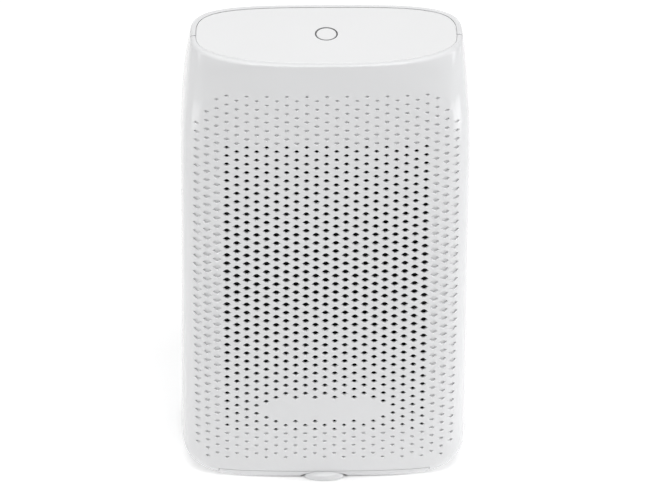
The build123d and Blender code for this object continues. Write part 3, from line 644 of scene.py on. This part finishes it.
def white_satin():
    return moulded("white_satin", (0.83, 0.832, 0.836), (0.85, 0.852, 0.855), (0.38, 0.46), 2600, 0.12)


def dark_ring():
    return moulded("dark_ring", (0.10, 0.10, 0.105), (0.14, 0.14, 0.145), (0.25, 0.35))


def black_plastic():
    return moulded("black_plastic", (0.018, 0.018, 0.02), (0.03, 0.03, 0.033), (0.42, 0.55),
                   1800, 0.25, 0.0001)


def grey_plastic():
    return moulded("grey_plastic", (0.50, 0.51, 0.53), (0.56, 0.57, 0.59), (0.4, 0.5), 1800, 0.2, 0.0001)


def ceramic():
    return moulded("ceramic", (0.80, 0.80, 0.77), (0.86, 0.86, 0.84), (0.5, 0.62), 1200, 0.2)


def foam():
    made, tree, shader = start("foam")
    cells = noise(tree, 1400, 1)
    tint(tree, shader, cells, (0.03, 0.03, 0.03), (0.09, 0.09, 0.09))
    gloss(tree, shader, cells, 0.8, 0.95)
    bump(tree, shader, cells, 0.8, 0.0004)
    return made


def rubber():
    return moulded("rubber", (0.025, 0.025, 0.025), (0.045, 0.045, 0.045), (0.65, 0.8),
                   1500, 0.3, 0.0001)


def silicone():
    return moulded("silicone", (0.42, 0.44, 0.47), (0.48, 0.5, 0.53), (0.45, 0.6), 1500, 0.2)


def led():
    return moulded("led", (0.75, 0.82, 0.9), (0.85, 0.92, 1.0), (0.2, 0.3), Transmission_Weight=0.5)


def component():
    return moulded("component", (0.04, 0.04, 0.055), (0.09, 0.09, 0.11), (0.35, 0.5), 800)


def smoke_clear():
    return moulded("smoke_clear", (0.46, 0.5, 0.54), (0.5, 0.54, 0.58), (0.05, 0.09), 220, 0.03, 0.00002,
                   Transmission_Weight=0.9, IOR=1.46)


def metal(name, dark, light, rough, stretch):
    """Drawn or extruded metal: fine lines along one direction."""
    made, tree, shader = start(name, metallic=1.0)
    lines = noise(tree, 900, 3, stretch)
    tint(tree, shader, lines, dark, light)
    gloss(tree, shader, lines, *rough)
    bump(tree, shader, lines, 0.15, 0.00008)
    return made


def aluminium_fin():
    return metal("aluminium_fin", (0.68, 0.69, 0.7), (0.84, 0.85, 0.86), (0.28, 0.42), (1, 1, 0.04))


def steel():
    return metal("steel", (0.5, 0.5, 0.51), (0.68, 0.68, 0.69), (0.25, 0.4), (1, 0.2, 1))


def magnet():
    return metal("magnet", (0.42, 0.42, 0.43), (0.6, 0.6, 0.61), (0.2, 0.3), (0.2, 1, 1))


def pcb():
    """Solder mask with tracks that show as slightly lighter, raised lines."""
    made, tree, shader = start("pcb")
    where = tree.nodes.new("ShaderNodeTexCoord")
    tracks = tree.nodes.new("ShaderNodeTexBrick")
    tracks.inputs["Scale"].default_value = 120
    tracks.inputs["Mortar Size"].default_value = 0.03
    tree.links.new(where.outputs["Object"], tracks.inputs["Vector"])
    tint(tree, shader, tracks.outputs["Fac"], (0.02, 0.12, 0.05), (0.05, 0.22, 0.1), 0.4, 0.6)
    gloss(tree, shader, noise(tree, 500), 0.25, 0.4)
    bump(tree, shader, tracks.outputs["Fac"], 0.3, 0.0001)
    return made


def black_mesh():
    """Woven filter mesh: two crossed sets of fine threads."""
    made, tree, shader = start("black_mesh")
    where = tree.nodes.new("ShaderNodeTexCoord")
    threads = []
    for axis in ("X", "Z"):
        wave = tree.nodes.new("ShaderNodeTexWave")
        wave.bands_direction = axis
        wave.inputs["Scale"].default_value = 220
        tree.links.new(where.outputs["Object"], wave.inputs["Vector"])
        threads.append(wave.outputs["Fac"])
    weave = tree.nodes.new("ShaderNodeMath")
    weave.operation = "MAXIMUM"
    tree.links.new(threads[0], weave.inputs[0])
    tree.links.new(threads[1], weave.inputs[1])
    tint(tree, shader, weave.outputs["Value"], (0.001, 0.001, 0.001), (0.006, 0.006, 0.006))
    gloss(tree, shader, noise(tree, 900), 0.7, 0.85)
    bump(tree, shader, weave.outputs["Value"], 0.5, 0.0002)
    return made


SLOT_NODES = {
    white_gloss: ("front_cover", "front_grille", "rear_housing", "base_plate"),
    white_satin: ("top_plate", "power_button", "float_arm"),
    dark_ring: ("button_ring",),
    black_plastic: ("fan_frame", "fan_rotor", "dc_inlet", "level_sensor"),
    grey_plastic: ("filter_frame", "chassis", "drip_funnel", "tank_lid"),
    ceramic: ("peltier_module",),
    foam: ("insulation_gasket",),
    rubber: ("rubber_feet",),
    silicone: ("tank_plug",),
    led: ("status_led",),
    component: ("tact_switch", "fan_stator", "board_components"),
    smoke_clear: ("water_tank",),
    aluminium_fin: ("cold_heatsink", "hot_heatsink"),
    steel: ("clamp_screws", "fan_shaft", "fan_screws", "housing_screws", "float_pin"),
    magnet: ("float_magnet",),
    pcb: ("control_board", "main_board"),
    black_mesh: ("air_filter",),
}
READY = {make.__name__: make() for make in SLOT_NODES}


def finish_piece(piece, slot_name, body):
    piece.data.materials.clear()
    piece.data.materials.append(READY[slot_name])
    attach(piece, body)
    return piece


def dress_nodes():
    """Every CAD node that stays gets the material of its slot."""
    for make, names in SLOT_NODES.items():
        for name in names:
            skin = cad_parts[name].data.materials
            skin.clear()
            skin.append(READY[make.__name__])


# ------------------------------------------------------------------ stage
def painted_floor_glow(tree, shader):
    """The floor's own glow, painted light that fades out under and just round the object: a painted darker
    zone round the base, in which the lamps' real contact shadow also shows.
    """
    where = tree.nodes.new("ShaderNodeTexCoord")
    squash = tree.nodes.new("ShaderNodeMapping")
    squash.inputs["Scale"].default_value = (1 / FOOTPRINT_X, 1 / FOOTPRINT_Y, 0)
    far = tree.nodes.new("ShaderNodeVectorMath")
    far.operation = "LENGTH"
    glow = tree.nodes.new("ShaderNodeMapRange")
    glow.inputs["From Min"].default_value = 1.0
    glow.inputs["From Max"].default_value = GLOW_END
    glow.inputs["To Max"].default_value = PAINTED_FLOOR_GLOW
    tree.links.new(where.outputs["Object"], squash.inputs["Vector"])
    tree.links.new(squash.outputs["Vector"], far.inputs[0])
    tree.links.new(far.outputs["Value"], glow.inputs["Value"])
    tree.links.new(glow.outputs["Result"], shader.inputs["Emission Strength"])


def make_floor():
    corners = [(x * FLOOR_HALF, y * FLOOR_HALF, 0) for x, y in ((-1, -1), (1, -1), (1, 1), (-1, 1))]
    data = bpy.data.meshes.new("studio_floor")
    data.from_pydata(corners, [], [(0, 1, 2, 3)])
    floor = bpy.data.objects.new("studio_floor", data)
    bpy.context.scene.collection.objects.link(floor)
    paint, tree, shader = start("studio_floor")
    tint(tree, shader, noise(tree, 1.5), (0.93, 0.93, 0.93), (0.95, 0.95, 0.95))
    shader.inputs["Roughness"].default_value = 0.9
    shader.inputs["Emission Color"].default_value = (1, 1, 1, 1)
    # painted light: the floor glows everywhere except under and round the object, where it stays darker as a
    # painted shadow
    painted_floor_glow(tree, shader)
    data.materials.append(paint)


def area_light(name, place, target, size, power, colour=(1, 1, 1), mirrored=1.0):
    """Rectangular lamp that the camera doesn't see; mirrored is how strongly glossy surfaces show it."""
    data = bpy.data.lights.new(name, "AREA")
    data.shape = "RECTANGLE"
    data.size, data.size_y = size
    data.energy = power
    data.color = colour
    data.specular_factor = mirrored
    lamp = bpy.data.objects.new(name, data)
    lamp.location = place
    lamp.visible_camera = False
    lamp.rotation_euler = (Vector(target) - Vector(place)).to_track_quat("-Z", "Y").to_euler()
    bpy.context.scene.collection.objects.link(lamp)


def make_lights():
    world = bpy.data.worlds.new("studio")
    world.use_nodes = True
    world.node_tree.nodes["Background"].inputs["Color"].default_value = (1, 1, 1, 1)
    world.node_tree.nodes["Background"].inputs["Strength"].default_value = 0.2
    bpy.context.scene.world = world
    area_light("top_box", (0, 0, 2.2), (0, 0, 0), (2.4, 2.0), 24)
    area_light("front_box", (0, -0.9, 2.2), (0, 0, 0.1), (1.4, 0.8), 14)
    area_light("back_box", (0, 2.2, 0.7), (0, 0, 0.3), (2.4, 1.0), 8)
    area_light("left_box", (-2.0, -0.3, 0.9), (0, 0, 0.15), (0.3, 1.4), 3.5, mirrored=0.6)
    area_light("right_box", (2.0, -0.3, 0.9), (0, 0, 0.15), (0.5, 1.4), 7.5, (0.97, 0.98, 1.0), mirrored=0.3)
    for name, side, power in (("low_left", -1, 0.25), ("low_right", 1, 0.45)):
        area_light(name, (side * 0.6, -0.25, 0.05), (side * 0.1, 0, 0.06), (0.4, 0.1), power, mirrored=0.0)


def make_camera():
    """Camera at the photograph's angle, with a long lens and a slight tilt."""
    target = Vector((-1.41, -68.5, 212.15)) / 1000
    azimuth, elevation, roll = (math.radians(v) for v in (-1.25, 36.742, 0.432))
    distance, lens = 5.1429, 404.6
    level = math.cos(elevation)
    back = Vector((math.sin(azimuth) * level, -math.cos(azimuth) * level, math.sin(elevation)))
    right = Vector((math.cos(azimuth), math.sin(azimuth), 0))
    up = back.cross(right)
    turned_right = math.cos(roll) * right + math.sin(roll) * up
    turned_up = -math.sin(roll) * right + math.cos(roll) * up
    data = bpy.data.cameras.new("photo_camera")
    data.sensor_width = 36.0
    data.lens = lens
    data.clip_start, data.clip_end = 0.1, 100
    camera = bpy.data.objects.new("photo_camera", data)
    basis = Matrix((turned_right, turned_up, back)).transposed()
    camera.matrix_world = Matrix.Translation(target + back * distance) @ basis.to_4x4()
    bpy.context.scene.collection.objects.link(camera)
    bpy.context.scene.camera = camera


make_camera()
bpy.context.scene.view_settings.view_transform = "Standard"
dress_nodes()

cover = shell("front", "cover_shell", front_features(), BODY_H - PLATE_T - GAP)
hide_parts("front_cover", "front_grille")
finish_piece(cover, "white_gloss", "cover")

housing = shell("rear", "housing_shell", rear_features(), BODY_H - PLATE_T)
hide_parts("rear_housing")
finish_piece(housing, "white_gloss", "housing")

make_floor()
make_lights()
